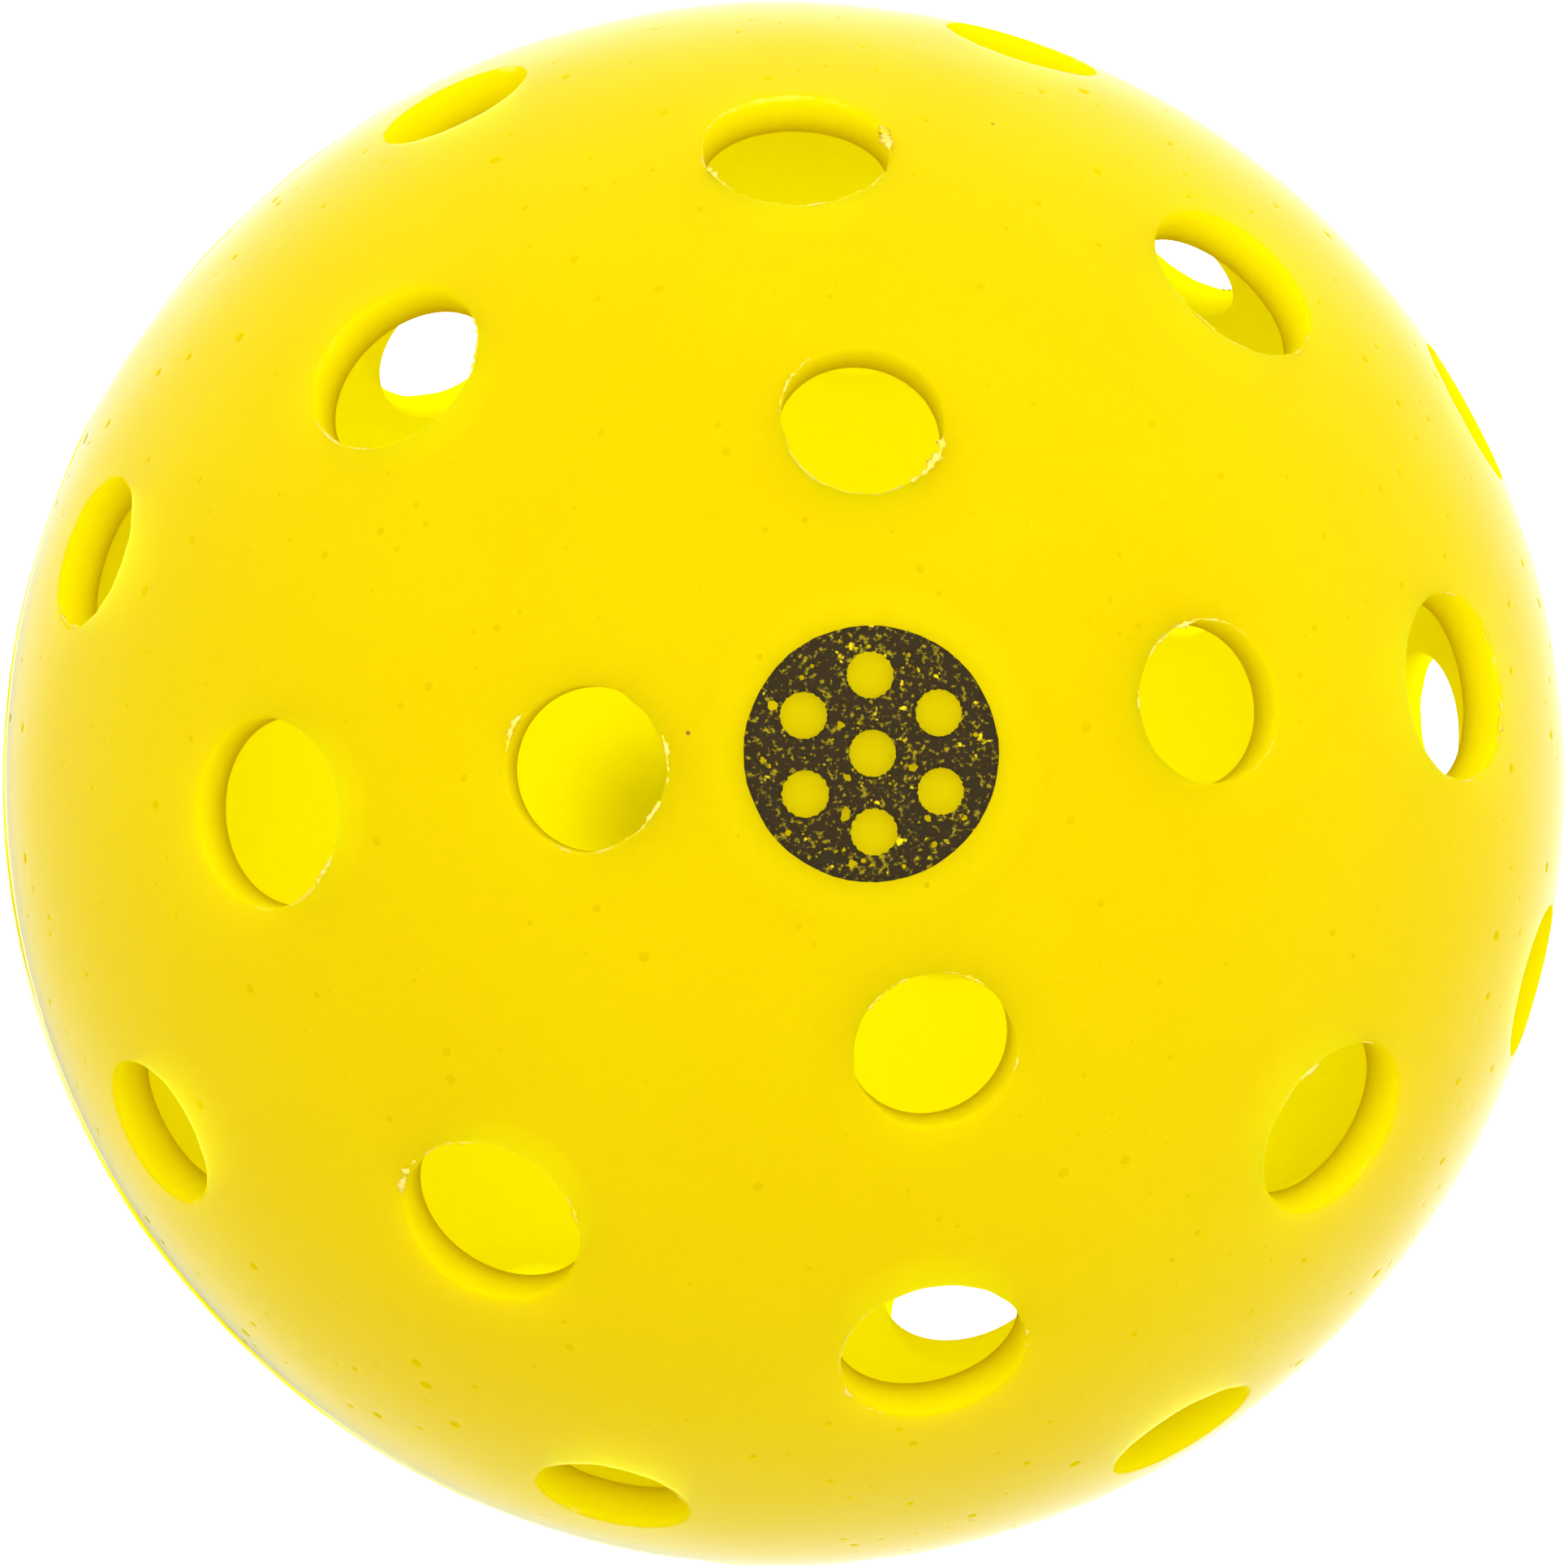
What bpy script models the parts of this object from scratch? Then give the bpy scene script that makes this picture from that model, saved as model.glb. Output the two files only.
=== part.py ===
"""Perforated ball: two identical moulded half shells butt-welded at the equator, with a thin printed mark.

The origin is the ball's centre. +Z runs through the printed pole, the weld lies in the XY plane, and the
vertical plane through +X cuts a hole of the upper half's first ring and one of its second ring. Metres.
"""

import math

import bpy
from mathutils import Euler, Matrix

# The moulded half shell
OUTER_RADIUS = 0.0370
WALL = 0.0020
INNER_RADIUS = OUTER_RADIUS - WALL

# Each ring of holes: angle down from the pole, hole diameter, number of holes, turn of the first hole
HOLE_RINGS = (
    (math.radians(22.75), 0.00735, 4, math.radians(0.0)),
    (math.radians(48.5), 0.00850, 8, math.radians(0.0)),
    (math.radians(72.75), 0.00705, 8, math.radians(22.5)),
)
# The lower half is turned by half a hole pitch against the upper one
LOWER_HALF_INDEX = math.radians(-22.5)

# The butt weld: each half stops short of the equator, and the melted bead fills what is left
EDGE_HEIGHT = 0.00045
EDGE_CHAMFER = 0.0003
WEB_HALF_HEIGHT = 0.00015
WEB_OUTER_RADIUS = 0.03685
ROLL_OUTER_RADIUS = 0.0347
ROLL_INNER_RADIUS = 0.0341
ROLL_HALF_HEIGHT = 0.0009
ROLL_CHAMFER = 0.00025

# The printed mark: a round icon of a perforated ball, on the upper half near its pole
MARK_RADIUS = 0.0057
MARK_GAP = 0.00015
MARK_THICKNESS = 0.00015
MARK_TILT = math.radians(3.05)
MARK_AZIMUTH = math.radians(205.0)
MARK_OPENING_RADIUS = 0.00105
MARK_OPENINGS = 6
MARK_OPENING_CIRCLE = 0.0035

# How finely the round shapes are divided
TURNED_STEPS = 64
OUTER_ARC_STEPS = 15
INNER_ARC_STEPS = 12
HOLE_SIDES = 20
MARK_STEPS = 40
MARK_ARC_STEPS = 3
MARK_OPENING_SIDES = 14
MERGE_DISTANCE = 0.00001
SHARP_ANGLE = math.radians(35.0)

YELLOW = (0.95, 0.72, 0.004, 1.0)
WELD_YELLOW = (0.90, 0.66, 0.004, 1.0)
INK = (0.045, 0.030, 0.012, 1.0)


def clear_scene():
    for obj in list(bpy.data.objects):
        bpy.data.objects.remove(obj, do_unlink=True)


def new_collection(name):
    collection = bpy.data.collections.new(name)
    bpy.context.scene.collection.children.link(collection)
    return collection


def new_material(name, colour, roughness):
    material = bpy.data.materials.new(name)
    material.use_nodes = True
    shader = material.node_tree.nodes["Principled BSDF"]
    shader.inputs["Base Color"].default_value = colour
    shader.inputs["Roughness"].default_value = roughness
    shader.inputs["Metallic"].default_value = 0.0
    return material


def arc(radius, start, end, steps):
    """Points (x, z) on a circle about the origin, at angles down from +Z."""
    turns = [start + (end - start) * step / steps for step in range(steps + 1)]
    return [(radius * math.sin(turn), radius * math.cos(turn)) for turn in turns]


def turned_object(name, profile, steps, collection, closed=False):
    """A profile of (x, z) points turned about the Z axis by a Screw modifier."""
    count = len(profile)
    edges = [(i, i + 1) for i in range(count - 1)]
    if closed:
        edges.append((count - 1, 0))
    mesh = bpy.data.meshes.new(name)
    mesh.from_pydata([(x, 0.0, z) for x, z in profile], edges, [])
    obj = bpy.data.objects.new(name, mesh)
    collection.objects.link(obj)
    screw = obj.modifiers.new("turn", "SCREW")
    screw.axis = "Z"
    screw.steps = steps
    screw.render_steps = steps
    screw.use_merge_vertices = True
    screw.merge_threshold = MERGE_DISTANCE
    screw.use_smooth_shade = True
    return obj


def radial_cutter(name, radius, sides, middle, depth, turn, collection):
    """A cylinder whose axis leaves the ball's centre; turn is the rotation that takes +Z to that axis."""
    bpy.ops.mesh.primitive_cylinder_add(vertices=sides, radius=radius, depth=depth)
    cutter = bpy.context.object
    cutter.name = name
    cutter.matrix_world = turn @ Matrix.Translation((0.0, 0.0, middle))
    for holder in list(cutter.users_collection):
        holder.objects.unlink(cutter)
    collection.objects.link(cutter)
    return cutter


def hide_helper(obj):
    obj.hide_render = True
    obj.display_type = "WIRE"


def cut_with(obj, cutters):
    """Takes away every shape in a collection of cutters."""
    cut = obj.modifiers.new("openings", "BOOLEAN")
    cut.operation = "DIFFERENCE"
    cut.solver = "EXACT"
    cut.operand_type = "COLLECTION"
    cut.collection = cutters
    for cutter in cutters.objects:
        hide_helper(cutter)


def finished_mesh(obj, name, material):
    """The object's mesh with its modifiers carried out, shaded smooth up to its sharp edges."""
    bpy.context.view_layer.update()
    mesh = bpy.data.meshes.new_from_object(obj.evaluated_get(bpy.context.evaluated_depsgraph_get()))
    mesh.name = name
    mesh.shade_smooth()
    mesh.set_sharp_from_angle(angle=SHARP_ANGLE)
    mesh.materials.clear()
    mesh.materials.append(material)
    return mesh


def polar_turn(polar, azimuth):
    """The rotation that takes +Z to a direction given by its angle from +Z and its azimuth."""
    return Euler((0.0, polar, azimuth), "XYZ").to_matrix().to_4x4()


def half_shell_profile():
    """Down the outside from the pole to the welding edge, and back up the inside."""
    outer_end = math.acos((EDGE_HEIGHT + EDGE_CHAMFER) / OUTER_RADIUS)
    inner_end = math.acos((EDGE_HEIGHT + EDGE_CHAMFER) / INNER_RADIUS)
    edge = [
        (OUTER_RADIUS - EDGE_CHAMFER, EDGE_HEIGHT),
        (INNER_RADIUS + EDGE_CHAMFER, EDGE_HEIGHT),
    ]
    outside = arc(OUTER_RADIUS, 0.0, outer_end, OUTER_ARC_STEPS)
    inside = arc(INNER_RADIUS, inner_end, 0.0, INNER_ARC_STEPS)
    return outside + edge + inside


def make_half_mesh(cutters, helpers):
    """One moulded half: a turned shell with its three rings of radial holes."""
    blank = turned_object("half_blank", half_shell_profile(), TURNED_STEPS, helpers)
    middle = OUTER_RADIUS - WALL / 2
    for ring, (polar, diameter, count, first) in enumerate(HOLE_RINGS, start=1):
        for number in range(count):
            turn = polar_turn(polar, first + math.tau * number / count)
            name = f"ring_{ring}_cutter_{number + 1}"
            radial_cutter(name, diameter / 2, HOLE_SIDES, middle, 4 * WALL, turn, cutters)
    cut_with(blank, cutters)
    hide_helper(blank)
    return finished_mesh(blank, "half_shell", new_material("moulded_yellow", YELLOW, 0.45))


def make_halves(parts, cutters, helpers):
    """The lower half is the same moulding turned over and indexed round the pole axis."""
    mesh = make_half_mesh(cutters, helpers)
    upper = bpy.data.objects.new("upper_half", mesh)
    parts.objects.link(upper)
    lower_mesh = mesh.copy()
    lower_mesh.materials[0] = new_material("moulded_yellow_lower", YELLOW, 0.45)
    lower = bpy.data.objects.new("lower_half", lower_mesh)
    parts.objects.link(lower)
    lower.rotation_euler = (math.pi, 0.0, LOWER_HALF_INDEX)


def weld_bead_profile():
    """A thin web between the two edges, ending inside in the rolled-over melt."""
    half = [
        (ROLL_OUTER_RADIUS, WEB_HALF_HEIGHT),
        (ROLL_OUTER_RADIUS, ROLL_HALF_HEIGHT - ROLL_CHAMFER),
        (ROLL_OUTER_RADIUS - ROLL_CHAMFER, ROLL_HALF_HEIGHT),
        (ROLL_INNER_RADIUS + ROLL_CHAMFER / 2, ROLL_HALF_HEIGHT),
        (ROLL_INNER_RADIUS, ROLL_HALF_HEIGHT - ROLL_CHAMFER),
    ]
    web = [(WEB_OUTER_RADIUS, WEB_HALF_HEIGHT), (WEB_OUTER_RADIUS, -WEB_HALF_HEIGHT)]
    below = [(x, -z) for x, z in half]
    return web + below + half[::-1]


def make_weld_bead(parts):
    bead = turned_object("weld_bead", weld_bead_profile(), TURNED_STEPS, parts, closed=True)
    bead.data.materials.append(new_material("weld_yellow", WELD_YELLOW, 0.4))


def make_printed_mark(parts, cutters, helpers):
    """A film that follows the sphere, with round openings like those of the ball."""
    inner = OUTER_RADIUS + MARK_GAP
    outer = inner + MARK_THICKNESS
    reach = math.asin(MARK_RADIUS / outer)
    profile = arc(outer, 0.0, reach, MARK_ARC_STEPS) + arc(inner, reach, 0.0, MARK_ARC_STEPS)
    blank = turned_object("mark_blank", profile, MARK_STEPS, helpers)
    ring_polar = math.asin(MARK_OPENING_CIRCLE / outer)
    places = [(0.0, 0.0)]
    places += [(ring_polar, math.tau * number / MARK_OPENINGS) for number in range(MARK_OPENINGS)]
    for number, (polar, azimuth) in enumerate(places, start=1):
        radial_cutter(
            f"mark_cutter_{number}",
            MARK_OPENING_RADIUS,
            MARK_OPENING_SIDES,
            (inner + outer) / 2,
            8 * MARK_THICKNESS,
            polar_turn(polar, azimuth),
            cutters,
        )
    cut_with(blank, cutters)
    hide_helper(blank)
    mark = bpy.data.objects.new("printed_mark", finished_mesh(blank, "mark", new_material("ink", INK, 0.6)))
    parts.objects.link(mark)
    mark.rotation_euler = (0.0, MARK_TILT, MARK_AZIMUTH)


def main():
    clear_scene()
    parts = new_collection("perforated_ball")
    helpers = new_collection("blanks")
    hole_cutters = new_collection("hole_cutters")
    mark_cutters = new_collection("mark_cutters")
    make_halves(parts, hole_cutters, helpers)
    make_weld_bead(parts)
    make_printed_mark(parts, mark_cutters, helpers)


main()
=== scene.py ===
"""Looks of the perforated ball: fine half shells, weld bead, flash on the hole rims and a worn printed mark.

Lengths are in metres, in the part's own frame: origin at the ball's centre, +Z through the printed pole.
"""

import math

import bpy
import numpy as np
from mathutils import Matrix, Vector
from mathutils.geometry import delaunay_2d_cdt


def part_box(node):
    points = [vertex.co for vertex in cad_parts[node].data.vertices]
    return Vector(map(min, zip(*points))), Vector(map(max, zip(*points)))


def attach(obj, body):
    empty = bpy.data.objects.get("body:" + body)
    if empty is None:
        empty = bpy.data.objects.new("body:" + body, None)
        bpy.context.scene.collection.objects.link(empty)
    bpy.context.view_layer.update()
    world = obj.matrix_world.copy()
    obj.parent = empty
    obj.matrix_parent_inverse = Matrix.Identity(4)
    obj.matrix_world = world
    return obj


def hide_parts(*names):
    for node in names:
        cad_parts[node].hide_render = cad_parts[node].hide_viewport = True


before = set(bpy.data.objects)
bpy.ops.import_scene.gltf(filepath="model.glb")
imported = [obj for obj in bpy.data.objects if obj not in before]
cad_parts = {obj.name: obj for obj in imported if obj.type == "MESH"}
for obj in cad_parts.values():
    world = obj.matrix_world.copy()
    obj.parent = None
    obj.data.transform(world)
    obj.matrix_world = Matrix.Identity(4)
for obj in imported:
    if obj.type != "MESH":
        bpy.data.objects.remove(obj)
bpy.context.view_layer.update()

MM = 0.001
BODY = "root"

# ---- the moulded ball ----
RADIUS = -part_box("lower_half")[0].z
WALL = 2.0 * MM
INNER_RADIUS = RADIUS - WALL
# Each ring of holes: angle down from the pole, diameter, number of holes, turn of the first hole
HOLE_RINGS = (
    (math.radians(22.75), 7.35 * MM, 4, 0.0),
    (math.radians(48.5), 8.50 * MM, 8, 0.0),
    (math.radians(72.75), 7.05 * MM, 8, math.radians(22.5)),
)
LOWER_HALF_INDEX = math.radians(-22.5)
# One hole of the lower half sits a little off its place: hole in the list, which way round it, how far
LOWER_SHIFT = (11, math.radians(285.0), 0.34 * MM)
RIM_ROUND = 0.16 * MM
INNER_RIM_ROUND = 0.10 * MM
RIM_WOBBLE = 0.022 * MM
RIM_WAVES = 16
RIM_POINTS = 84
RIM_ROUND_STEPS = 4
WALL_STEPS = 5
# The surface's own points keep clear of a hole: a ring of even points first, then the scattered ones
RIM_EASE = 0.32 * MM
RIM_CLEAR = 0.60 * MM
SURFACE_SPACING = 0.55 * MM
INSIDE_SPACING = 1.1 * MM
UNDULATION = 0.016 * MM
UNDULATION_WAVES = (40, 6 * MM, 26 * MM)
UPPER_SEED = 3
LOWER_SEED = 8
# How worn (rim) the plastic is from a hole's edge, and how much painted light (inside) lifts its colour from the top
# to the bottom of its wall, against the shade there
RIM_EDGE_WEAR = 0.5
ROUND_WEAR_LOSS = 0.35
WALL_TOP_LIGHT_SHARE = 0.4
SEAM_EDGE_WEAR = 0.25

# ---- pits left by bubbles and grit in the mould ----
PITS_PER_HALF = 420
PIT_RADII = (0.09 * MM, 0.26 * MM)
PIT_SIZE_POWER = 2.5
PIT_DEPTH_SHARE = 0.12
PIT_ROUNDNESS = 0.8
# Rings of points in and just round a pit: share of its radius, number of points
PIT_RINGS = ((0.0, 1), (0.45, 7), (0.8, 10), (1.15, 12))
PIT_MARGIN = 0.12 * MM
PIT_HOLE_CLEAR = 1.1 * MM
PIT_LOWEST = 0.03
# The painted shade in the pits is full from the depth of a pit of this radius
PIT_FULL_SHADE_RADIUS = 0.12 * MM

# ---- the weld ----
SEAM_EDGE = 0.16 * MM
SEAM_ROUND = 0.15 * MM
SEAM_POINTS = 420
BEAD_HALF = 0.14 * MM
BEAD_PROUD = 0.035 * MM
BEAD_PROUD_LIMITS = (-0.02 * MM, 0.07 * MM)
BEAD_DRIFT = 0.02 * MM
# The outer bead's half section: distance below the sphere, share of the half height
BEAD_SECTION = ((0.25 * MM, 1.0), (0.06 * MM, 0.98), (0.0, 0.62))
ROLL_HALF = 0.85 * MM
ROLL_DEPTH = 0.75 * MM
ROLL_UNEVEN = 0.10
ROLL_SWING = 0.10 * MM

# ---- the printed mark ----
MARK_RADIUS = 5.7 * MM
MARK_TILT = math.radians(3.05)
MARK_AZIMUTH = math.radians(205.0)
MARK_OPENINGS = 6
MARK_OPENING_CIRCLE = 3.5 * MM
MARK_OPENING_RADIUS = 1.05 * MM
MARK_LIFT = 0.012 * MM
MARK_FILM = 0.02 * MM
MARK_SPACING = 0.22 * MM
MARK_PINHOLES = 46
MARK_CLEAR = 0.4 * MM
MARK_EDGE_POINTS = 720
MARK_EDGE_ROUGH = 0.016 * MM
OPENING_POINTS = 130
OPENING_ROUGH = 0.010
PINHOLE_POINTS = 14
PINHOLE_ROUGH = 0.12
# Painted light: the plastic under and round the ink is painted paler, against the shade the ink makes there, and
# fades to its common colour further off
PRINT_SHADE_LIFT_START = 0.6
PRINT_SHADE_LIFT_FADE = 3.0 * MM

GOLDEN_TURN = math.pi * (3.0 - math.sqrt(5.0))
POLE = np.array((0.0, 0.0, 1.0))

# ---- colours, linear ----
YELLOW = (0.67, 0.48, 0.0006, 1.0)
YELLOW_DEEP = (0.66, 0.46, 0.0004, 1.0)
# painted light: the inside is painted paler than the outside, for the brighter light that fills the ball
INSIDE_LIT_YELLOW = (1.0, 0.73, 0.0006, 1.0)
# painted light: the paler yellow under and round the ink, against the ink's shade
PRINT_SHADE_LIFT_YELLOW = (0.90, 0.65, 0.0006, 1.0)
# painted shade in the pits
PIT_SHADE_YELLOW = (0.58, 0.40, 0.0003, 1.0)
WELD_YELLOW = (0.66, 0.46, 0.0005, 1.0)
WELD_DARK = (0.56, 0.37, 0.0004, 1.0)
WORN_YELLOW = (0.88, 0.62, 0.06, 1.0)
FLASH_CREAM = (0.78, 0.60, 0.13, 1.0)
FLASH_YELLOW = (0.76, 0.56, 0.02, 1.0)
SPECK_BROWN = (0.16, 0.10, 0.02, 1.0)
INK = (0.026, 0.017, 0.005, 1.0)
INK_FLECK = (0.85, 0.66, 0.0, 1.0)
FLOOR_GREY = (0.25, 0.25, 0.25, 1.0)
WHITE = (1.0, 1.0, 1.0, 1.0)

# ---- how the plastic takes light ----
LIGHT_REACH = 15.0 * MM
LIGHT_REACH_BY_COLOUR = (1.0, 1.0, 0.1)
HAZE_TINT = (0.62, 0.65, 0.70, 1.0)
HAZE_ROUGHNESS = 0.28
WELD_CARRIES_LIGHT = 0.9


# ---------------------------------------------------------------- directions on the sphere


def unit(vectors):
    return vectors / np.linalg.norm(vectors, axis=-1, keepdims=True)


def direction(polar, azimuth):
    ring = math.sin(polar)
    return np.array((ring * math.cos(azimuth), ring * math.sin(azimuth), math.cos(polar)))


def tangents(axis):
    """Two unit vectors across an axis: the first points away from the pole, the second follows the parallel."""
    along = np.cross((0.0, 0.0, 1.0), axis)
    if np.linalg.norm(along) < 1e-9:
        along = np.array((0.0, 1.0, 0.0))
    along = unit(along)
    return np.cross(along, axis), along


def circle_about(axis, half_angles, turns):
    """Directions at the given angles from an axis, counter-clockwise as seen from outside."""
    down, along = tangents(axis)
    spokes = np.outer(np.cos(turns), down) + np.outer(np.sin(turns), along)
    half_angles = np.broadcast_to(half_angles, turns.shape)[:, None]
    return np.cos(half_angles) * axis + np.sin(half_angles) * spokes


def even_cap(spacing, radius, lowest):
    """Directions spread evenly over the cap of the sphere above the height lowest (of a unit sphere)."""
    count = int(2.0 * math.pi * radius**2 * (1.0 - lowest) / (0.866 * spacing**2))
    index = np.arange(count) + 0.5
    height = 1.0 - (1.0 - lowest) * index / count
    ring = np.sqrt(1.0 - height**2)
    turn = index * GOLDEN_TURN
    return np.stack((ring * np.cos(turn), ring * np.sin(turn), height), axis=1)


def full_turn(count):
    return math.tau * np.arange(count) / count


def hole_axes():
    """(axis, radius) of each hole of one half."""
    found = []
    for polar, diameter, count, first in HOLE_RINGS:
        for number in range(count):
            found.append((direction(polar, first + math.tau * number / count), diameter / 2))
    return found


def smooth_waves(seed, count, shortest, longest):
    """A gentle random function of position: a sum of plane waves with the given range of wavelengths."""
    rng = np.random.default_rng(seed)
    ways = unit(rng.normal(size=(count, 3)))
    lengths = np.exp(rng.uniform(math.log(shortest), math.log(longest), count))
    phases = rng.uniform(0.0, math.tau, count)

    def value(points):
        waves = np.sin(points @ (ways * (math.tau / lengths)[:, None]).T + phases)
        return waves.sum(axis=-1) / math.sqrt(count / 2)

    return value


def ragged(seed, terms, turns, first=2):
    """A random periodic function round a circle, of about unit size."""
    rng = np.random.default_rng(seed)
    sizes = rng.normal(size=terms) / np.sqrt(np.arange(1, terms + 1))
    phases = rng.uniform(0.0, math.tau, terms)
    waves = np.arange(first, first + terms)
    return (sizes * np.sin(np.outer(turns, waves) + phases)).sum(axis=1)


# ---------------------------------------------------------------- meshes


class Shape:
    """Vertices, faces and per-vertex values that are joined up into one mesh.

    The kind of each face is the number of its material: 0 is the open outside, 1 all that lies within.
    """

    def __init__(self):
        self.points, self.faces, self.kinds, self.values, self.count = [], [], [], {}, 0

    def add(self, points, **values):
        """Adds points and returns their numbers. Values not given are 0."""
        points = np.asarray(points, float)
        start = self.count
        self.points.append(points)
        self.count += len(points)
        for name, value in values.items():
            self.values.setdefault(name, []).append((start, np.broadcast_to(value, len(points))))
        return np.arange(start, self.count)

    def band(self, first, second, turned=False):
        """Quads between two closed loops with the same number of points."""
        a, b = first, np.roll(first, -1)
        c, d = np.roll(second, -1), second
        quads = np.stack((b, a, d, c) if turned else (a, b, c, d), axis=1)
        self.add_faces(quads.tolist())

    def add_faces(self, faces, kinds=1):
        self.faces.extend(np.asarray(faces).tolist())
        self.kinds.extend(np.broadcast_to(kinds, len(faces)).tolist())

    def object(self, name, *materials):
        mesh = bpy.data.meshes.new(name)
        points = np.concatenate(self.points)
        mesh.from_pydata(points.tolist(), [], self.faces)
        for value_name, parts in self.values.items():
            whole = np.zeros(len(points), np.float32)
            for start, value in parts:
                whole[start : start + len(value)] = value
            mesh.attributes.new(value_name, "FLOAT", "POINT").data.foreach_set("value", whole)
        for material in materials:
            mesh.materials.append(material)
        if len(materials) > 1:
            mesh.polygons.foreach_set("material_index", self.kinds)
        mesh.shade_smooth()
        mesh.update()
        obj = bpy.data.objects.new(name, mesh)
        bpy.context.scene.collection.objects.link(obj)
        return obj


def triangulated(directions, loops, outline):
    """Triangles over a cap of the sphere, between its outline and the loops of its holes.

    The points are flattened from the far pole, which keeps circles round, and joined by a Delaunay
    triangulation. The triangles inside a hole have all their corners on its loop, in the loop's own sense.
    """
    flat = directions[:, :2] / (1.0 + directions[:, 2:3])
    edges = []
    for loop in [*loops, outline]:
        edges += list(zip(loop.tolist(), np.roll(loop, -1).tolist()))
    found = delaunay_2d_cdt([Vector(p) for p in flat], edges, [], 0, 1e-7)
    source = np.array([origin[0] for origin in found[3]])
    faces = source[np.array(found[2])]
    a, b, c = (flat[faces[:, k]] for k in range(3))
    area = (b[:, 0] - a[:, 0]) * (c[:, 1] - a[:, 1]) - (b[:, 1] - a[:, 1]) * (c[:, 0] - a[:, 0])
    faces[area < 0] = faces[area < 0][:, ::-1]
    loop_of = np.full(len(directions), -1)
    place_in = np.zeros(len(directions), int)
    for number, loop in enumerate(loops):
        loop_of[loop] = number
        place_in[loop] = np.arange(len(loop))
    loops_met = loop_of[faces]
    same = (loops_met[:, 0] >= 0) & (loops_met == loops_met[:, :1]).all(axis=1)
    places = place_in[faces]
    falls = (places < np.roll(places, 1, axis=1)).sum(axis=1)
    return faces[~(same & (falls == 1))]


def clear_of(points, axes_and_angles):
    """Which directions lie outside all of the given circles."""
    kept = np.ones(len(points), bool)
    for axis, angle in axes_and_angles:
        kept &= points @ axis < math.cos(angle)
    return kept


# ---------------------------------------------------------------- half shells


def pit_places(seed, blocked):
    """(direction, radius) of each pit, clear of holes, print and seam and of each other."""
    rng = np.random.default_rng(seed)
    found = []
    while len(found) < PITS_PER_HALF:
        place = unit(rng.normal(size=3))
        place[2] = abs(place[2])
        share = rng.random() ** PIT_SIZE_POWER
        radius = PIT_RADII[0] + (PIT_RADII[1] - PIT_RADII[0]) * share
        if place[2] < PIT_LOWEST or not clear_of(place[None], blocked)[0]:
            continue
        near = [math.acos(min(1.0, float(place @ p))) * RADIUS < 2.5 * (radius + r) for p, r in found]
        if not any(near):
            found.append((place, radius))
    return found


def pit_points(pits):
    """Directions of the points in and just round each pit, and how far each lies below the surface."""
    points, falls = [], []
    for place, radius in pits:
        for share, count in PIT_RINGS:
            points.append(circle_about(place, share * radius / RADIUS, full_turn(count)))
            fall = PIT_DEPTH_SHARE * radius * max(0.0, 1.0 - share**2) ** PIT_ROUNDNESS if share < 1 else 0.0
            falls.append(np.full(count, fall))
    return np.concatenate(points), np.concatenate(falls)


def moved_holes(shift):
    """The holes of a half, with one of them moved a little over the sphere."""
    holes = hole_axes()
    if shift is not None:
        number, turn, distance = shift
        axis, radius = holes[number]
        holes[number] = (circle_about(axis, distance / RADIUS, np.array((turn,)))[0], radius)
    return holes


def loops_of(numbers, holes):
    """The loop of each hole and the seam's loop, from points that were added in that order."""
    loops = [numbers[k * RIM_POINTS : (k + 1) * RIM_POINTS] for k in range(len(holes))]
    return loops, numbers[len(holes) * RIM_POINTS :][:SEAM_POINTS]


def outside_surface(shape, seed, holes, blocked, outline, undulation):
    """The outside between its hole rims and the seam, with pits. Returns the rims' and the seam's points."""
    rim_turns = full_turn(RIM_POINTS)
    rims, ease = [], []
    for number, (axis, radius) in enumerate(holes):
        wobble = RIM_WOBBLE * ragged(seed * 100 + number, RIM_WAVES, rim_turns)
        rims.append(circle_about(axis, np.arcsin((radius + RIM_ROUND + wobble) / RADIUS), rim_turns))
        angle = math.asin((radius + RIM_ROUND + RIM_EASE) / RADIUS)
        ease.append(circle_about(axis, angle, rim_turns + math.pi / RIM_POINTS))
    pits = pit_places(seed, [(axis, math.asin((r + PIT_HOLE_CLEAR) / RADIUS)) for axis, r in holes] + blocked)
    in_pits, pit_falls = pit_points(pits)
    field = even_cap(SURFACE_SPACING, RADIUS, outline[0][2] + 0.4 * SURFACE_SPACING / RADIUS)
    taken = [(axis, math.asin((radius + RIM_ROUND + RIM_CLEAR) / RADIUS)) for axis, radius in holes]
    taken += [(place, (PIT_RINGS[-1][0] * radius + PIT_MARGIN) / RADIUS) for place, radius in pits]
    outside = np.concatenate([*rims, outline, *ease, in_pits, field[clear_of(field, taken)]])

    falls = np.zeros(len(outside))
    first_pit = 2 * len(holes) * RIM_POINTS + SEAM_POINTS
    falls[first_pit : first_pit + len(pit_falls)] = pit_falls
    wear = np.zeros(len(outside))
    wear[: len(holes) * RIM_POINTS] = RIM_EDGE_WEAR
    # Painted light round the print: paler plastic against the shade the ink makes
    under_print = np.zeros(len(outside))
    for axis, angle in blocked:
        away = np.arccos(np.clip(outside @ axis, -1.0, 1.0)) - angle
        under_print = np.maximum(under_print, np.clip(PRINT_SHADE_LIFT_START - away * RADIUS / PRINT_SHADE_LIFT_FADE, 0.0, 1.0))
    heights = RADIUS + UNDULATION * undulation(outside * RADIUS) - falls
    # The pit value is painted shade in the pits, darker with their depth
    outer = shape.add(
        outside * heights[:, None],
        pit=np.clip(falls / (PIT_DEPTH_SHARE * PIT_FULL_SHADE_RADIUS), 0.0, 1.0),
        rim=wear,
        under_print=under_print,
    )
    outer_rims, seam = loops_of(outer, holes)
    faces = triangulated(outside, outer_rims, seam)
    shape.add_faces(outer[faces], (falls[faces].max(axis=1) > 0).astype(int))
    return outer_rims, seam


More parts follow.
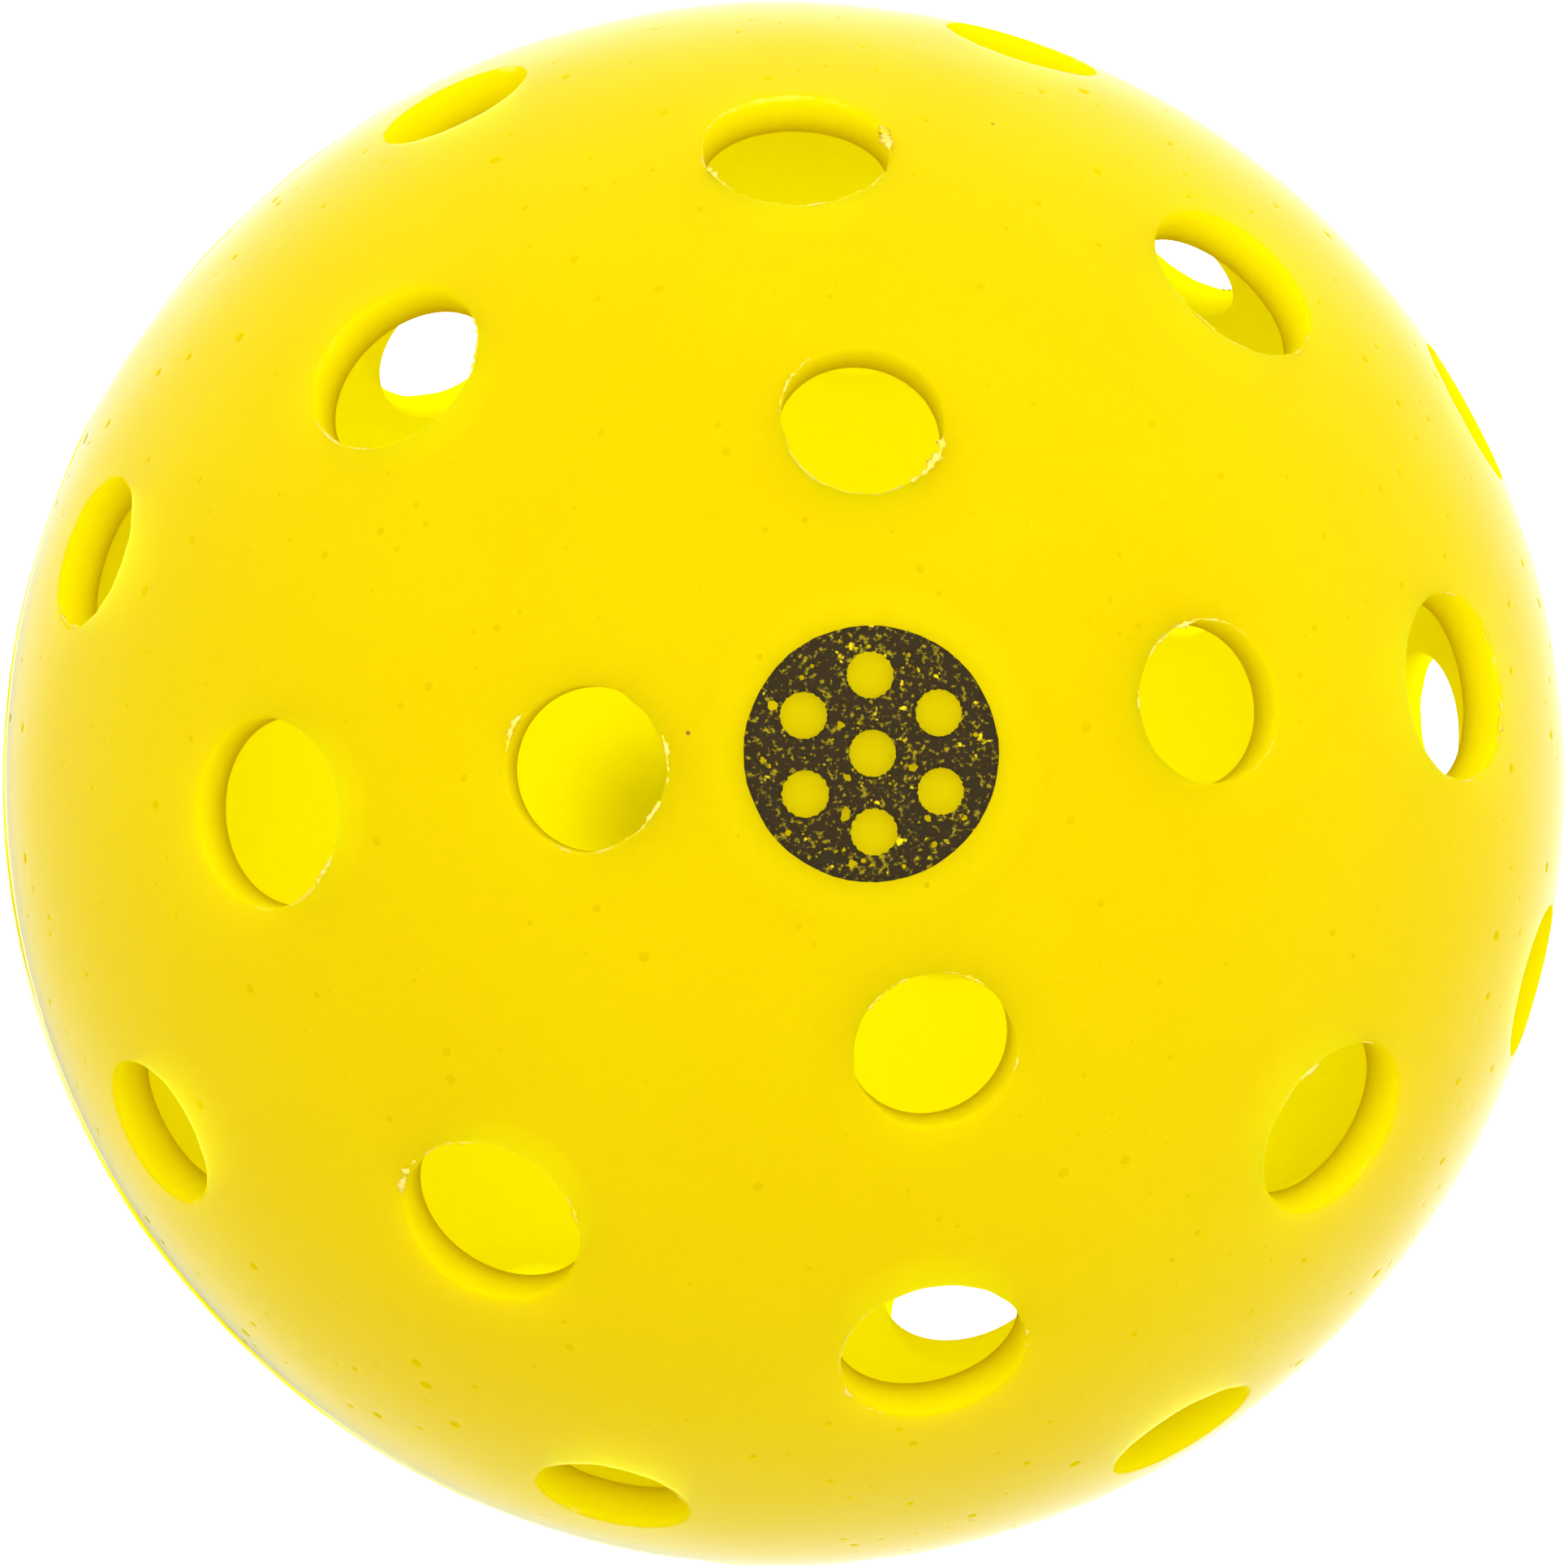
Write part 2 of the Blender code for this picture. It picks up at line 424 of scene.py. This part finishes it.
def inside_surface(shape, holes, outline, undulation):
    """The inside between its hole rims and the seam. Returns the rims' and the seam's points."""
    rim_turns = full_turn(RIM_POINTS)
    rims = [circle_about(axis, math.asin((r + INNER_RIM_ROUND) / INNER_RADIUS), rim_turns) for axis, r in holes]
    field = even_cap(INSIDE_SPACING, INNER_RADIUS, outline[0][2] + 0.5 * INSIDE_SPACING / INNER_RADIUS)
    field = field[clear_of(field, [(axis, math.asin((r + RIM_CLEAR) / INNER_RADIUS)) for axis, r in holes])]
    inside = np.concatenate([*rims, outline, field])
    depth = INNER_RADIUS + UNDULATION * undulation(inside * RADIUS)
    # Painted light: the whole inside takes the paler inside colour, for the brighter light within the ball
    inner = shape.add(inside * depth[:, None], inside=1.0)
    loops, seam = loops_of(np.arange(len(inside)), holes)
    shape.add_faces(inner[triangulated(inside, loops, seam)][:, ::-1])
    return [inner[loop] for loop in loops], inner[seam]


def half_shell(name, seed, blocked, shift=None):
    """One half: a finely divided outside and inside, rounded hole rims, and a rounded welding edge."""
    holes = moved_holes(shift)
    undulation = smooth_waves(seed, *UNDULATION_WAVES)
    seam_turns = full_turn(SEAM_POINTS)
    outer_polar = math.acos((SEAM_EDGE + SEAM_ROUND) / RADIUS)
    inner_polar = math.acos((SEAM_EDGE + SEAM_ROUND) / INNER_RADIUS)
    outer_outline = circle_about(POLE, outer_polar, seam_turns)
    inner_outline = circle_about(POLE, inner_polar, seam_turns)
    shape = Shape()
    outer_rims, outer_seam = outside_surface(shape, seed, holes, blocked, outer_outline, undulation)
    inner_rims, inner_seam = inside_surface(shape, holes, inner_outline, undulation)
    points = np.concatenate(shape.points)
    for (axis, _), outer_rim, inner_rim in zip(holes, outer_rims, inner_rims):
        hole_wall(shape, axis, points, outer_rim, inner_rim)
    last = outer_seam
    edge_rings = edge_round(outer_outline, RADIUS, outer_polar, -1.0)
    edge_rings += edge_round(inner_outline, INNER_RADIUS, inner_polar, 1.0)[::-1]
    for ring in edge_rings:
        new = shape.add(ring, rim=SEAM_EDGE_WEAR)
        shape.band(last, new, turned=True)
        last = new
    shape.band(last, inner_seam, turned=True)
    return shape.object(name, shell_material(name + "_outside", True), shell_material(name + "_within", False))


def hole_wall(shape, axis, points, outer_rim, inner_rim):
    """The rounded outer rim, the straight wall and the rounded inner rim of one hole."""
    start, end = points[outer_rim], points[inner_rim]
    spokes = unit(start - np.outer(start @ axis, axis))
    start_out, start_up = (start * spokes).sum(axis=1), start @ axis
    end_out, end_up = (end * spokes).sum(axis=1), end @ axis
    # Each ring: out, up, rim wear, and painted light (inside) that grows towards the wall's bottom, against the shade
    # there
    rings = []
    for step in range(1, RIM_ROUND_STEPS + 1):
        turn = math.pi / 2 * step / RIM_ROUND_STEPS
        out = start_out - RIM_ROUND * math.sin(turn)
        up = start_up - RIM_ROUND * (1.0 - math.cos(turn))
        share = step / RIM_ROUND_STEPS
        rings.append((out, up, 1.0 - ROUND_WEAR_LOSS * share, WALL_TOP_LIGHT_SHARE * share))
    top_out, top_up = rings[-1][:2]
    low_out, low_up = end_out - INNER_RIM_ROUND, end_up + INNER_RIM_ROUND
    for step in range(1, WALL_STEPS + 1):
        share = step / WALL_STEPS
        out, up = top_out + (low_out - top_out) * share, top_up + (low_up - top_up) * share
        rings.append((out, up, 0.0, WALL_TOP_LIGHT_SHARE + (1.0 - WALL_TOP_LIGHT_SHARE) * share))
    for step in range(1, RIM_ROUND_STEPS):
        turn = math.pi / 2 * (1.0 - step / RIM_ROUND_STEPS)
        out = end_out - INNER_RIM_ROUND * math.sin(turn)
        rings.append((out, end_up + INNER_RIM_ROUND * (1.0 - math.cos(turn)), 0.0, 1.0))
    last = outer_rim
    for out, up, wear, pale in rings:
        new = shape.add(np.outer(up, axis) + out[:, None] * spokes, rim=wear, inside=pale)
        shape.band(last, new)
        last = new
    shape.band(last, inner_rim)


def edge_round(outline, radius, polar, side):
    """Rings that round the edge of a half from the sphere to its welding face; side is -1 outside, 1 inside."""
    flat = unit(outline * (1.0, 1.0, 0.0))
    out = radius * math.sin(polar)
    rings = []
    for step in range(1, RIM_ROUND_STEPS + 1):
        turn = math.pi / 2 * step / RIM_ROUND_STEPS
        ring = flat * (out + side * SEAM_ROUND * (1.0 - math.cos(turn)))
        ring[:, 2] = SEAM_EDGE + SEAM_ROUND * (1.0 - math.sin(turn))
        rings.append(ring)
    return rings


def finish_piece(obj, nodes=(), turn=None):
    """Places a piece in the part's frame, hangs it on the body it rides on and hides the parts it stands for."""
    if turn is not None:
        obj.data.transform(turn)
        obj.data.update()
    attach(obj, BODY)
    if nodes:
        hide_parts(*nodes)
    return obj


# ---------------------------------------------------------------- weld bead


def weld_bead(material):
    """The set melt between the halves: proud and ragged outside, rolled over inside."""
    turns = full_turn(SEAM_POINTS * 2)
    proud = np.clip(BEAD_PROUD * (0.55 + 0.45 * ragged(11, 60, turns, first=3)), *BEAD_PROUD_LIMITS)
    drift = BEAD_DRIFT * ragged(12, 40, turns, first=2)
    roll = 1.0 + ROLL_UNEVEN * ragged(13, 50, turns, first=3)
    swing = ROLL_SWING * ragged(14, 30, turns, first=2)
    rings = []

    def ring(out, height):
        flat = np.stack((np.cos(turns), np.sin(turns)), axis=1) * np.reshape(out, (-1, 1))
        rings.append(np.column_stack((flat, np.broadcast_to(height, len(turns)))))

    def outer_ring(below, share, side):
        rises = proud if share < 0.9 else 0.0
        drifts = drift if below < 0.1 * MM else 0.0
        ring(RADIUS - below + rises, side * BEAD_HALF * share + drifts)

    for below, share in BEAD_SECTION:
        outer_ring(below, share, 1.0)
    ring(RADIUS + proud * 1.25, drift)
    for below, share in BEAD_SECTION[::-1]:
        outer_ring(below, share, -1.0)
    inside = INNER_RADIUS - 0.02 * MM
    rolled = ((0.0, 0.5), (0.12 * MM, 0.92), (0.45 * MM, 1.0), (0.80 * ROLL_DEPTH, 0.78), (ROLL_DEPTH, 0.35))

    def rolled_ring(depth, share, side):
        ring(inside - depth * roll, side * share * ROLL_HALF * (1.0 + 0.06 * (roll - 1.0)) + swing)

    ring(inside, -BEAD_HALF)
    for depth, share in rolled:
        rolled_ring(depth, share, -1.0)
    ring(inside - 0.92 * ROLL_DEPTH, swing)
    for depth, share in rolled[::-1]:
        rolled_ring(depth, share, 1.0)
    ring(inside, BEAD_HALF)
    shape = Shape()
    loops = [shape.add(points) for points in rings]
    for first, second in zip(loops, loops[1:] + loops[:1]):
        shape.band(first, second, turned=True)
    return finish_piece(shape.object("weld_seam", material), ["weld_bead"])


# ---------------------------------------------------------------- flash on the rims

# Thin bits of plastic left on a rim: ring, hole in the ring, start and end round the hole in degrees from
# the side away from the pole, thickness in millimetres, lean over the hole (+) or out over the surface (-)
UPPER_FLASH = (
    (1, 0, 62, 96, 0.11, -0.2), (1, 0, 90, 146, 0.16, 0.6), (1, 0, 168, 196, 0.10, -0.4),
    (1, 0, 300, 332, 0.09, -0.5),
    (1, 1, 28, 78, 0.12, -0.3), (1, 1, 108, 172, 0.07, 0.1), (1, 1, 204, 250, 0.34, 0.1),
    (1, 2, 296, 342, 0.16, -0.6), (1, 2, 112, 150, 0.22, 0.5), (1, 2, 160, 205, 0.12, -0.5),
    (1, 3, 196, 232, 0.16, -0.2), (1, 3, 140, 172, 0.14, -0.3), (1, 3, 66, 80, 0.10, -0.5),
    (2, 0, 322, 352, 0.20, -0.3), (2, 0, 2, 40, 0.14, -0.3), (2, 0, 74, 96, 0.14, -0.3), (2, 0, 262, 300, 0.10, -0.4),
    (2, 1, 246, 282, 0.14, -0.3), (2, 1, 150, 222, 0.08, -0.1),
    (2, 2, 100, 128, 0.32, 0.5), (2, 2, 254, 286, 0.36, 0.4), (2, 2, 134, 244, 0.09, -0.1),
    (2, 2, 20, 84, 0.07, -0.1),
    (2, 3, 58, 124, 0.11, -0.2), (2, 3, 196, 244, 0.13, 0.1), (2, 4, 104, 148, 0.18, 0.1),
    (2, 5, 270, 300, 0.24, -0.9), (2, 5, 222, 262, 0.12, -0.3), (2, 5, 128, 158, 0.13, -0.2),
    (2, 6, 292, 306, 0.16, -1.5), (2, 6, 318, 330, 0.13, -1.8), (2, 6, 84, 104, 0.14, -0.2),
    (2, 7, 160, 196, 0.18, -0.1), (2, 7, 108, 132, 0.12, -0.2),
    (3, 1, 200, 250, 0.08, -0.2), (3, 3, 58, 98, 0.24, 0.3), (3, 5, 100, 150, 0.08, -0.2),
)
LOWER_FLASH = (
    (1, 0, 40, 110, 0.09, 0.3), (1, 2, 200, 250, 0.12, -0.4), (1, 3, 320, 350, 0.14, -0.5),
    (2, 0, 10, 70, 0.09, -0.3), (2, 1, 200, 245, 0.16, -0.5), (2, 3, 120, 190, 0.08, 0.3),
    (2, 4, 260, 300, 0.12, -0.4), (2, 6, 60, 130, 0.10, 0.3), (2, 5, 330, 355, 0.18, -0.6),
    (3, 0, 150, 210, 0.08, 0.2), (3, 2, 20, 60, 0.12, -0.4), (3, 4, 240, 290, 0.09, -0.3),
    (3, 6, 100, 128, 0.16, -0.5),
)
FLASH_SIDES = 7
FLASH_STEP = 0.09 * MM
FLASH_FEWEST_STEPS = 8
FLASH_END_TAPER = 0.35
FLASH_DRIFT = 0.02 * MM
FLASH_WIDTH_SHARE = 1.35
FLASH_HEIGHT_SHARE = 0.75
FLASH_UNEVEN = 0.22


def rim_flash(name, bits, seed, material):
    """Ragged slivers that follow the rims, thick and thin by turns, each a closed solid of its own."""
    shape = Shape()
    rng = np.random.default_rng(seed)
    for ring, hole, start, end, thickness, lean in bits:
        polar, diameter, count, first = HOLE_RINGS[ring - 1]
        axis = direction(polar, first + math.tau * hole / count)
        down, along = tangents(axis)
        radius = diameter / 2
        span = math.radians(end - start)
        steps = max(FLASH_FEWEST_STEPS, int(radius * span / FLASH_STEP))
        share = np.linspace(0.0, 1.0, steps)
        turns = math.radians(start) + span * share
        taper = np.sin(math.pi * np.clip(share, 0.02, 0.98)) ** FLASH_END_TAPER
        bumps = 0.55 + 0.35 * ragged(int(rng.integers(1e6)), 22, turns * 3.0)
        size = thickness * MM / 2 * taper * np.clip(bumps, 0.12, 1.5)
        drift = FLASH_DRIFT * ragged(int(rng.integers(1e6)), 9, turns * 2.0)
        out = radius + RIM_ROUND * 0.45 - lean * (size + 0.04 * MM) + drift
        up = np.sqrt(RADIUS**2 - np.maximum(out, radius) ** 2) - 0.02 * MM + 0.35 * size
        loops = []
        for place in range(steps):
            spoke = math.cos(turns[place]) * down + math.sin(turns[place]) * along
            middle = up[place] * axis + out[place] * spoke
            angles = full_turn(FLASH_SIDES) + 0.4 * place
            uneven = size[place] * (1.0 + FLASH_UNEVEN * rng.normal(size=FLASH_SIDES))
            across = np.outer(FLASH_WIDTH_SHARE * np.cos(angles) * uneven, spoke)
            upwards = np.outer(FLASH_HEIGHT_SHARE * np.sin(angles) * uneven, axis)
            loops.append(shape.add(middle + across + upwards))
        for first_loop, second_loop in zip(loops, loops[1:]):
            shape.band(first_loop, second_loop)
        shape.add_faces([loops[0][::-1], loops[-1]])
    return shape.object(name, material)


# ---------------------------------------------------------------- printed mark


def mark_circles():
    """(direction, radius) of the icon's seven openings and of the pinholes in the ink."""
    rng = np.random.default_rng(77)
    circles = [(POLE, MARK_OPENING_RADIUS)]
    for number in range(MARK_OPENINGS):
        turn = math.tau * number / MARK_OPENINGS
        circles.append((direction(MARK_OPENING_CIRCLE / RADIUS, turn), MARK_OPENING_RADIUS))
    while len(circles) < 1 + MARK_OPENINGS + MARK_PINHOLES:
        away = MARK_RADIUS / RADIUS * math.sqrt(rng.random()) * 0.93
        place = direction(away, rng.uniform(0.0, math.tau))
        radius = MM * (0.05 + 0.22 * rng.random() ** 3)
        gaps = [math.acos(min(1.0, float(place @ p))) * RADIUS - radius - r for p, r in circles]
        if min(gaps) > 0.12 * MM and away * RADIUS + radius < MARK_RADIUS - 0.2 * MM:
            circles.append((place, radius))
    return circles


def printed_mark(undulation, material):
    """A thin film of ink on the sphere: a round icon of a perforated ball, ragged and pinholed."""
    edge_turns = full_turn(MARK_EDGE_POINTS)
    reach = (MARK_RADIUS + MARK_EDGE_ROUGH * ragged(5, 130, edge_turns, first=50)) / RADIUS
    outline = circle_about(POLE, reach, edge_turns)
    circles = mark_circles()
    loops = []
    for number, (place, radius) in enumerate(circles):
        if number <= MARK_OPENINGS:
            turns = full_turn(OPENING_POINTS)
            rough = OPENING_ROUGH * ragged(200 + number, 30, turns, first=15)
        else:
            turns = full_turn(PINHOLE_POINTS)
            rough = PINHOLE_ROUGH * ragged(200 + number, 9, turns)
        loops.append(circle_about(place, radius * (1.0 + rough) / RADIUS, turns))
    field = even_cap(MARK_SPACING, RADIUS, math.cos((MARK_RADIUS - 0.2 * MM) / RADIUS))
    field = field[clear_of(field, [(place, (radius + 0.13 * MM) / RADIUS) for place, radius in circles])]
    whole = np.concatenate([outline, *loops, field])
    ends = np.cumsum([len(outline)] + [len(loop) for loop in loops])
    numbers = np.arange(len(whole))
    loop_numbers = [numbers[a:b] for a, b in zip(ends, ends[1:])]
    faces = triangulated(whole, loop_numbers, numbers[: len(outline)])
    turn = np.array(Matrix.Rotation(MARK_AZIMUTH, 3, "Z") @ Matrix.Rotation(MARK_TILT, 3, "Y"))
    turned = whole @ turn.T
    base = RADIUS + UNDULATION * undulation(turned * RADIUS)
    shape = Shape()
    top = shape.add(turned * (base + MARK_LIFT + MARK_FILM)[:, None])
    bottom = shape.add(turned * (base + MARK_LIFT)[:, None])
    shape.add_faces(top[faces])
    shape.add_faces(bottom[faces][:, ::-1])
    shape.band(top[: len(outline)], bottom[: len(outline)], turned=True)
    for loop in loop_numbers:
        shape.band(top[loop], bottom[loop])
    return finish_piece(shape.object("ball_icon_print", material), ["printed_mark"])


# ---------------------------------------------------------------- materials


class Nodes:
    """Short ways to add and join shader nodes."""

    def __init__(self, name):
        self.material = bpy.data.materials.new(name)
        self.material.use_nodes = True
        self.tree = self.material.node_tree
        self.shader = self.tree.nodes["Principled BSDF"]
        self.place = self.add("ShaderNodeTexCoord").outputs["Object"]

    def add(self, kind, **settings):
        node = self.tree.nodes.new(kind)
        for key, value in settings.items():
            setattr(node, key, value)
        return node

    def join(self, output, socket):
        if isinstance(output, (int, float, tuple)):
            socket.default_value = output
        else:
            self.tree.links.new(output, socket)

    def noise(self, scale, detail=2.0, roughness=0.5):
        node = self.add("ShaderNodeTexNoise")
        self.join(self.place, node.inputs["Vector"])
        node.inputs["Scale"].default_value = scale
        node.inputs["Detail"].default_value = detail
        node.inputs["Roughness"].default_value = roughness
        return node.outputs["Fac"]

    def cells(self, scale, feature="F1"):
        node = self.add("ShaderNodeTexVoronoi", feature=feature)
        self.join(self.place, node.inputs["Vector"])
        node.inputs["Scale"].default_value = scale
        return node

    def attribute(self, name):
        return self.add("ShaderNodeAttribute", attribute_name=name).outputs["Fac"]

    def span(self, value, low, high, to_low=0.0, to_high=1.0):
        node = self.add("ShaderNodeMapRange", interpolation_type="SMOOTHSTEP")
        self.join(value, node.inputs["Value"])
        for key, number in zip(("From Min", "From Max", "To Min", "To Max"), (low, high, to_low, to_high)):
            node.inputs[key].default_value = number
        return node.outputs["Result"]

    def math(self, operation, first, second):
        node = self.add("ShaderNodeMath", operation=operation)
        self.join(first, node.inputs[0])
        self.join(second, node.inputs[1])
        return node.outputs["Value"]

    def mix(self, share, first, second):
        node = self.add("ShaderNodeMix", data_type="RGBA")
        self.join(share, node.inputs["Factor"])
        self.join(first, node.inputs[6])
        self.join(second, node.inputs[7])
        return node.outputs[2]

    def bump(self, height, strength, distance, normal=None):
        node = self.add("ShaderNodeBump")
        node.inputs["Strength"].default_value = strength
        node.inputs["Distance"].default_value = distance
        self.join(height, node.inputs["Height"])
        if normal is not None:
            self.join(normal, node.inputs["Normal"])
        return node.outputs["Normal"]

    def set(self, name, value):
        self.join(value, self.shader.inputs[name])


def plastic_basics(nodes, hazed, carries_light=1.0):
    """Matt, light-carrying yellow plastic. A hazed surface goes pale at grazing angles, from fine scuffs."""
    nodes.set("Specular IOR Level", 0.0)
    nodes.set("Sheen Weight", 1.0 if hazed else 0.0)
    nodes.set("Sheen Roughness", HAZE_ROUGHNESS)
    nodes.set("Sheen Tint", HAZE_TINT)
    nodes.set("Subsurface Weight", carries_light)
    nodes.set("Subsurface Radius", LIGHT_REACH_BY_COLOUR)
    nodes.set("Subsurface Scale", LIGHT_REACH)


def shell_material(name, hazed):
    """Moulded yellow plastic: slight blotches, painted shade in the pits, pale worn rims, a few specks and a fine
    grain; the inside and the plastic round the print are painted paler as light.
    """
    nodes = Nodes(name)
    blotch = nodes.span(nodes.noise(70.0, 3.0), 0.35, 0.68)
    colour = nodes.mix(blotch, YELLOW, YELLOW_DEEP)
    # Painted light: the inside and the lower walls are painted paler, for the light within the ball and against the
    # shade on the walls
    colour = nodes.mix(nodes.attribute("inside"), colour, INSIDE_LIT_YELLOW)
    # Painted light: paler plastic under and round the ink, against the ink's shade
    colour = nodes.mix(nodes.attribute("under_print"), colour, PRINT_SHADE_LIFT_YELLOW)
    # Painted shade in the pits, darker with their depth
    pit = nodes.span(nodes.attribute("pit"), 0.0, 0.9, 0.0, 0.85)
    colour = nodes.mix(pit, colour, PIT_SHADE_YELLOW)
    worn = nodes.span(nodes.noise(520.0, 3.0, 0.6), 0.46, 0.60)
    pale = nodes.math("MULTIPLY", nodes.span(nodes.attribute("rim"), 0.45, 0.95), worn)
    patches = nodes.span(nodes.noise(150.0, 1.0), 0.56, 0.64)
    pale = nodes.math("MULTIPLY", pale, patches)
    colour = nodes.mix(pale, colour, WORN_YELLOW)
    cells = nodes.cells(310.0)
    near = nodes.span(cells.outputs["Distance"], 0.020, 0.045, 1.0, 0.0)
    separate = nodes.add("ShaderNodeSeparateColor")
    nodes.join(cells.outputs["Color"], separate.inputs["Color"])
    chosen = nodes.span(separate.outputs["Red"], 0.968, 0.975)
    speck = nodes.math("MULTIPLY", near, chosen)
    colour = nodes.mix(speck, colour, SPECK_BROWN)
    nodes.set("Base Color", colour)
    nodes.set("Roughness", nodes.span(nodes.noise(900.0, 3.0), 0.3, 0.7, 0.30, 0.42))
    grain = nodes.bump(nodes.noise(2600.0, 2.0), 0.22, 0.02 * MM)
    nodes.set("Normal", nodes.bump(nodes.noise(420.0, 3.0), 0.25, 0.05 * MM, grain))
    plastic_basics(nodes, hazed)
    return nodes.material


def weld_material():
    """Melted and set plastic: the shell's yellow, deeper and glossier, with a pulled grain."""
    nodes = Nodes("weld_plastic")
    nodes.set("Base Color", nodes.mix(nodes.span(nodes.noise(380.0, 3.0), 0.35, 0.65), WELD_YELLOW, WELD_DARK))
    nodes.set("Roughness", nodes.span(nodes.noise(1200.0), 0.3, 0.7, 0.25, 0.42))
    nodes.set("Normal", nodes.bump(nodes.noise(1500.0, 3.0), 0.35, 0.04 * MM))
    plastic_basics(nodes, False, WELD_CARRIES_LIGHT)
    return nodes.material


def flash_material():
    """Thin stress-whitened slivers, cream with yellow showing through."""
    nodes = Nodes("rim_flash_plastic")
    nodes.set("Base Color", nodes.mix(nodes.span(nodes.noise(900.0, 3.0), 0.38, 0.62), FLASH_CREAM, FLASH_YELLOW))
    nodes.set("Roughness", nodes.span(nodes.noise(2200.0), 0.3, 0.7, 0.45, 0.65))
    nodes.set("Normal", nodes.bump(nodes.noise(3000.0, 2.0), 0.3, 0.02 * MM))
    plastic_basics(nodes, False, 0.0)
    return nodes.material


def ink_material():
    """Dark brown ink that has not wetted the plastic everywhere: yellow flecks of several sizes show in it."""
    nodes = Nodes("mark_ink")
    fine = nodes.span(nodes.noise(3600.0, 2.0, 0.6), 0.53, 0.74)
    coarse = nodes.span(nodes.noise(1700.0, 2.0, 0.6), 0.64, 0.74)
    bare = nodes.math("MAXIMUM", nodes.math("MULTIPLY", fine, 0.32), nodes.math("MULTIPLY", coarse, 0.8))
    nodes.set("Base Color", nodes.mix(bare, INK, INK_FLECK))
    nodes.set("Roughness", nodes.span(nodes.noise(1800.0), 0.3, 0.7, 0.5, 0.7))
    nodes.set("Normal", nodes.bump(bare, 0.4, 0.015 * MM))
    nodes.set("Specular IOR Level", 0.15)
    return nodes.material


# ---------------------------------------------------------------- the ball


def make_ball():
    mark_axis = direction(MARK_TILT, MARK_AZIMUTH)
    under_mark = [(mark_axis, (MARK_RADIUS + MARK_CLEAR) / RADIUS)]
    upper = half_shell("upper_shell", UPPER_SEED, under_mark)
    finish_piece(upper, ["upper_half"])
    turned_over = Matrix.Rotation(LOWER_HALF_INDEX, 4, "Z") @ Matrix.Rotation(math.pi, 4, "X")
    lower = half_shell("lower_shell", LOWER_SEED, [], LOWER_SHIFT)
    finish_piece(lower, ["lower_half"], turned_over)
    weld_bead(weld_material())
    flash = flash_material()
    finish_piece(rim_flash("upper_rim_flash", UPPER_FLASH, 21, flash))
    finish_piece(rim_flash("lower_rim_flash", LOWER_FLASH, 22, flash), (), turned_over)
    printed_mark(smooth_waves(UPPER_SEED, *UNDULATION_WAVES), ink_material())


# ---------------------------------------------------------------- floor, light, camera

CAMERA_POLAR = math.radians(9.5)
CAMERA_AZIMUTH = math.radians(-163.8)
CAMERA_UP_AZIMUTH = math.radians(83.4)
CAMERA_DISTANCE = 15.85 * RADIUS
CAMERA_LENS = 284.0
CAMERA_SENSOR = 36.0
CAMERA_SHIFT = (0.0006, -0.0003)
FLOOR_SIZE = 6.0
# The floor's glow: a painted contact shadow where the ball touches it, a brighter glowing pool under the ball, common
# strength further off
CONTACT_SHADOW_GLOW = (1.5 * MM, 7.5 * MM, 0.6, 1.33)
LIGHT_POOL_FADE = (60.0 * MM, 140.0 * MM, 1.0, 0.8)
LIGHT_POLAR = math.radians(9.0)
LIGHT_AZIMUTH = math.radians(95.0)
LIGHT_DISTANCE = 0.9
LIGHT_SIZE = 0.7
LIGHT_POWER = 10.5
STUDIO_STRENGTH = 0.62


def make_floor():
    bpy.ops.mesh.primitive_plane_add(size=FLOOR_SIZE, location=(0.0, 0.0, -RADIUS))
    floor = bpy.context.object
    floor.name = "floor"
    nodes = Nodes("floor_white")
    nodes.set("Base Color", FLOOR_GREY)
    nodes.set("Emission Color", WHITE)
    away = nodes.add("ShaderNodeVectorMath", operation="LENGTH")
    nodes.join(nodes.place, away.inputs[0])
    # Painted contact shadow where the ball touches, and a brighter glowing pool round it
    near = nodes.span(away.outputs["Value"], *CONTACT_SHADOW_GLOW)
    far = nodes.span(away.outputs["Value"], *LIGHT_POOL_FADE)
    nodes.set("Emission Strength", nodes.math("MULTIPLY", near, far))
    nodes.set("Roughness", 0.9)
    nodes.set("Specular IOR Level", 0.1)
    floor.data.materials.append(nodes.material)


def make_lights():
    light = bpy.data.lights.new("overhead", "AREA")
    light.size = LIGHT_SIZE
    light.energy = LIGHT_POWER
    obj = bpy.data.objects.new("overhead", light)
    bpy.context.scene.collection.objects.link(obj)
    away = Vector(direction(LIGHT_POLAR, LIGHT_AZIMUTH))
    obj.location = away * LIGHT_DISTANCE
    obj.rotation_euler = away.to_track_quat("Z", "Y").to_euler()
    obj.visible_glossy = False
    world = bpy.data.worlds.new("studio")
    world.use_nodes = True
    background = world.node_tree.nodes["Background"]
    background.inputs["Color"].default_value = WHITE
    background.inputs["Strength"].default_value = STUDIO_STRENGTH
    bpy.context.scene.world = world


def make_camera():
    camera = bpy.data.cameras.new("camera")
    camera.lens = CAMERA_LENS
    camera.sensor_width = CAMERA_SENSOR
    camera.shift_x, camera.shift_y = CAMERA_SHIFT
    camera.clip_start, camera.clip_end = 0.05, 20.0
    obj = bpy.data.objects.new("camera", camera)
    bpy.context.scene.collection.objects.link(obj)
    back = Vector(direction(CAMERA_POLAR, CAMERA_AZIMUTH))
    up = Vector((math.cos(CAMERA_UP_AZIMUTH), math.sin(CAMERA_UP_AZIMUTH), 0.0))
    up = (up - up.dot(back) * back).normalized()
    turn = Matrix((up.cross(back), up, back)).transposed().to_4x4()
    obj.matrix_world = Matrix.Translation(back * CAMERA_DISTANCE) @ turn
    bpy.context.scene.camera = obj


make_camera()
make_ball()
make_floor()
make_lights()
bpy.context.scene.view_settings.view_transform = "Standard"
